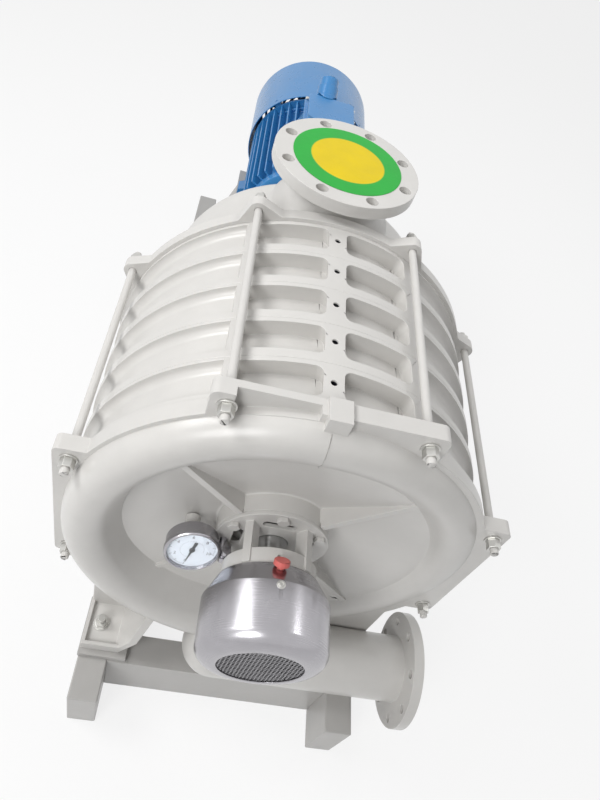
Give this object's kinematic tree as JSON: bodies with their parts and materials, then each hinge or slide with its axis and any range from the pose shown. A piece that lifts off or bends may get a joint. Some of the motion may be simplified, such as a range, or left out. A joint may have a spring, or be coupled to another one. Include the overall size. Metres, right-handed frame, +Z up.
{
  "type": "centrifugal blower",
  "caption": "Multistage centrifugal blower: ribbed casing clamped by tie rods, suction flange on top, side discharge flange, fan-cooled front bearing, gauge and foot-mounted motor on a base.",
  "frame": {"origin": "centre of the four foundation holes, on the underside of the base", "axes": "+Z up; the shaft runs along Y, fan cover towards -Y and motor towards +Y; the discharge flange faces +X"},
  "size_m": [0.7605, 1.81, 1.0108],
  "materials": {
    "casing_paint": "satin enamel over rough cast iron, off-white",
    "bolt_steel": "zinc plated",
    "shaft_steel": "machined",
    "wheel_alloy": "cast and machined",
    "dark_iron": "bare casting",
    "polished_steel": "spun stainless, softly polished",
    "cap_red": "soft moulded",
    "dial_white": "enamelled dial",
    "pointer_black": "black",
    "gauge_glass": "clear",
    "spider_rubber": "moulded",
    "motor_blue": "semi-gloss enamel, blue",
    "winding_copper": "varnished windings in a steel core",
    "sticker_film": "printed film, green ring round a yellow disc"
  },
  "bodies": {
    "machine": {"front_casing": "casing_paint", "stage_casing_1": "casing_paint", "stage_casing_2": "casing_paint", "stage_casing_3": "casing_paint", "stage_casing_4": "casing_paint", "stage_casing_5": "casing_paint", "rear_casing": "casing_paint", "tie_rods": "casing_paint", "tie_rod_nuts": "bolt_steel", "tie_rod_washers": "bolt_steel", "front_bearing_bracket": "casing_paint", "rear_bearing_bracket": "casing_paint", "bracket_bolts": "casing_paint", "bearing_outer_rings": "shaft_steel", "bearing_balls": "shaft_steel", "front_bearing_cap": "casing_paint", "rear_bearing_cap": "casing_paint", "fan_cover": "polished_steel", "cover_grille": "polished_steel", "cover_screws": "bolt_steel", "cover_plug": "cap_red", "gauge_case": "polished_steel", "gauge_bezel": "polished_steel", "gauge_dial": "dial_white", "gauge_glass": "gauge_glass", "gauge_fitting": "polished_steel", "gauge_bracket": "casing_paint", "coupling_guard": "casing_paint", "motor_frame": "motor_blue", "motor_end_shields": "motor_blue", "motor_stator": "winding_copper", "motor_bearings": "shaft_steel", "motor_cowl": "motor_blue", "terminal_box": "motor_blue", "terminal_lid": "motor_blue", "terminal_screws": "bolt_steel", "cable_gland": "motor_blue", "motor_bolts": "bolt_steel", "base_beams": "casing_paint", "base_cross_members": "casing_paint", "motor_stand": "casing_paint", "packing_plates": "casing_paint", "foot_bolts": "bolt_steel", "inlet_sticker": "sticker_film"},
    "blower_rotor": {"blower_shaft": "shaft_steel", "impeller_1": "wheel_alloy", "impeller_2": "wheel_alloy", "impeller_3": "wheel_alloy", "impeller_4": "wheel_alloy", "impeller_5": "wheel_alloy", "shaft_sleeves": "shaft_steel", "rotor_lock_nut": "dark_iron", "bearing_inner_rings": "shaft_steel", "cooling_fan": "dark_iron", "coupling_hub_blower": "dark_iron", "coupling_spider": "spider_rubber"},
    "motor_rotor_set": {"coupling_hub_motor": "dark_iron", "motor_rotor": "shaft_steel", "motor_fan": "pointer_black"},
    "gauge_needle": {"gauge_pointer": "pointer_black"}
  },
  "joints": [
    {"name": "blower_rotor_spin", "type": "hinge", "parent": "machine", "child": "blower_rotor", "pos_m": [0, 0, 0.605], "axis": [0, 1, 0], "continuous": true},
    {"name": "motor_rotor_spin", "type": "hinge", "parent": "machine", "child": "motor_rotor_set", "pos_m": [0, 0, 0.605], "axis": [0, 1, 0], "continuous": true},
    {"name": "gauge_needle_turn", "type": "hinge", "parent": "machine", "child": "gauge_needle", "pos_m": [-0.132, -0.745, 0.594], "axis": [-0.0926, 0.9615, -0.2588], "range_deg": [0, 270], "stiffness_Nm_per_rad": 0.0005}
  ],
  "couplings": [
    {"joint": "motor_rotor_spin", "follows": "blower_rotor_spin", "ratio": 1}
  ]
}
